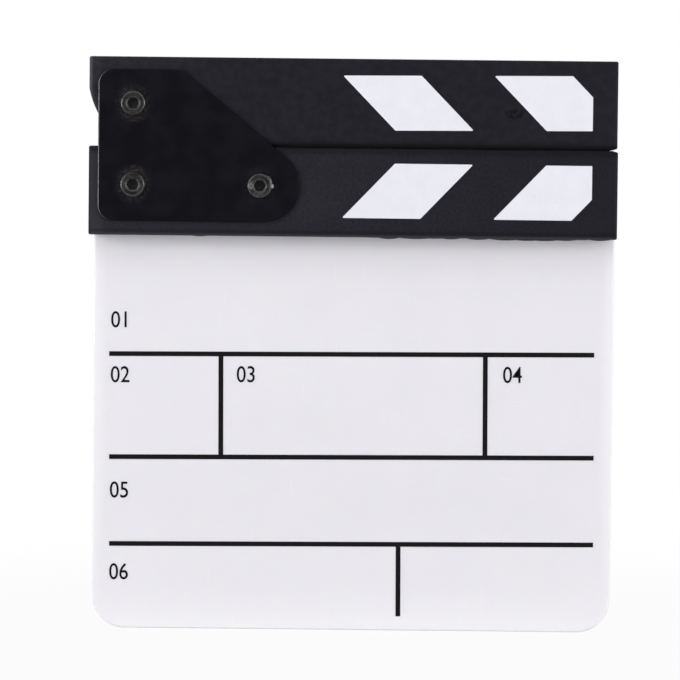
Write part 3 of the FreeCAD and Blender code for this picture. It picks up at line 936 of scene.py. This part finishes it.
def floor():
    """A pale floor that shows as white, and keeps the object's shadow near it."""
    half = FLOOR_SIZE / 2
    corners = [(-half, -half, 0), (half, -half, 0), (half, half, 0), (-half, half, 0)]
    mesh = bpy.data.meshes.new("floor")
    mesh.from_pydata(corners, [], [(0, 1, 2, 3)])
    material = bpy.data.materials.new("floor_white")
    tree = Nodes(material)
    tree.nodes.remove(tree.nodes["Principled BSDF"])
    place = tree.add("TexCoord", {}).outputs["Object"]
    away = tree.add("VectorMath", {0: place}, operation="LENGTH").outputs["Value"]
    fade = tree.ramp(away, FLOOR_SHADOW_NEAR, FLOOR_SHADOW_FAR, FLOOR_WHITE_SHARE)
    surface = tree.add("BsdfDiffuse", {"Color": FLOOR_COLOUR}).outputs[0]
    white = tree.add("Emission", {}).outputs[0]
    blend = tree.add("MixShader", {0: tree.times(tree.seen_directly(), fade), 1: surface, 2: white})
    tree.feed(tree.nodes["Material Output"].inputs["Surface"], blend.outputs[0])
    mesh.materials.append(material)
    new_object("floor", mesh)


def white_world():
    """A world that shows white and lights surfaces with a plain, weaker glow."""
    world = bpy.data.worlds.new("studio")
    tree = Nodes(world)
    background = tree.nodes["Background"].inputs
    tree.feed(background["Color"], (1, 1, 1, 1))
    tree.feed(background["Strength"], tree.ramp(tree.seen_directly(), 0.0, 1.0, WORLD_AMBIENT))
    bpy.context.scene.world = world


def area_light(name, place, target, width, height, power):
    """A soft rectangular lamp that looks at the target and isn't seen itself."""
    lamp = bpy.data.lights.new(name, "AREA")
    lamp.shape = "RECTANGLE"
    lamp.size = width
    lamp.size_y = height
    lamp.energy = power
    holder = new_object(name, lamp)
    holder.location = place
    holder.rotation_euler = (target - place).to_track_quat("-Z", "Y").to_euler()
    holder.visible_camera = False


def lights():
    """A weak key from the front and above, and the soft lights round the object."""
    middle = (cad_low + cad_high) / 2
    area_light("key", KEY_PLACE, middle, KEY_SIZE, KEY_SIZE, KEY_POWER)
    for name, (place, width, height, power) in SOFT_LIGHTS.items():
        area_light(name, place, middle, width, height, power)


def camera():
    """The photograph's camera: in front of its target, a little above it, and rolled."""
    back = Vector((0, -math.cos(CAMERA_ELEVATION), math.sin(CAMERA_ELEVATION)))
    up = Vector((0, math.sin(CAMERA_ELEVATION), math.cos(CAMERA_ELEVATION)))
    across = Vector((1, 0, 0))
    right = across * math.cos(CAMERA_ROLL) + up * math.sin(CAMERA_ROLL)
    lens = bpy.data.cameras.new("camera")
    lens.lens = CAMERA_LENS
    lens.sensor_width = CAMERA_SENSOR
    holder = new_object("camera", lens)
    turn = Matrix((right, back.cross(right), back)).transposed().to_4x4()
    holder.matrix_world = Matrix.Translation(CAMERA_TARGET + back * CAMERA_DISTANCE) @ turn
    bpy.context.scene.camera = holder


makers = (
    slate_acrylic,
    printed_ink,
    adhesive,
    stick_wood,
    white_marking,
    plate_metal,
    screw_steel,
    zinc_steel,
    nylon,
)
finishes = {maker.__name__: maker() for maker in makers}
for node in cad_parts.values():
    slot = node.material_slots[0]
    slot.material = finishes[slot.material.name]

socket_screw("pivot_screw", stick_high.y - THREAD_START)
for side in ("left", "right"):
    socket_screw(side + "_plate_screw", plate_high.y + THREAD_START)
    rounded_ring(side + "_plate_washer", WASHER_BORE_RADIUS, "zinc_steel")
    plate_nut(side + "_plate_nut")
rounded_ring("pivot_washer", WASHER_BORE_RADIUS, "zinc_steel")
lock_nut("pivot_lock_nut")
rounded_ring("pivot_nut_insert", NUT_BORE_RADIUS, "nylon")
for place in ("inner", "end"):
    mark("lower_stripe_" + place, "slate")
    mark("upper_stripe_" + place, "clapper")
glue_and_shade_bead()
for text, (left, baseline) in NUMBER_PLACES.items():
    field_number(text, left * MM, baseline * MM)

floor()
white_world()
lights()
camera()
bpy.context.scene.view_settings.view_transform = "Standard"
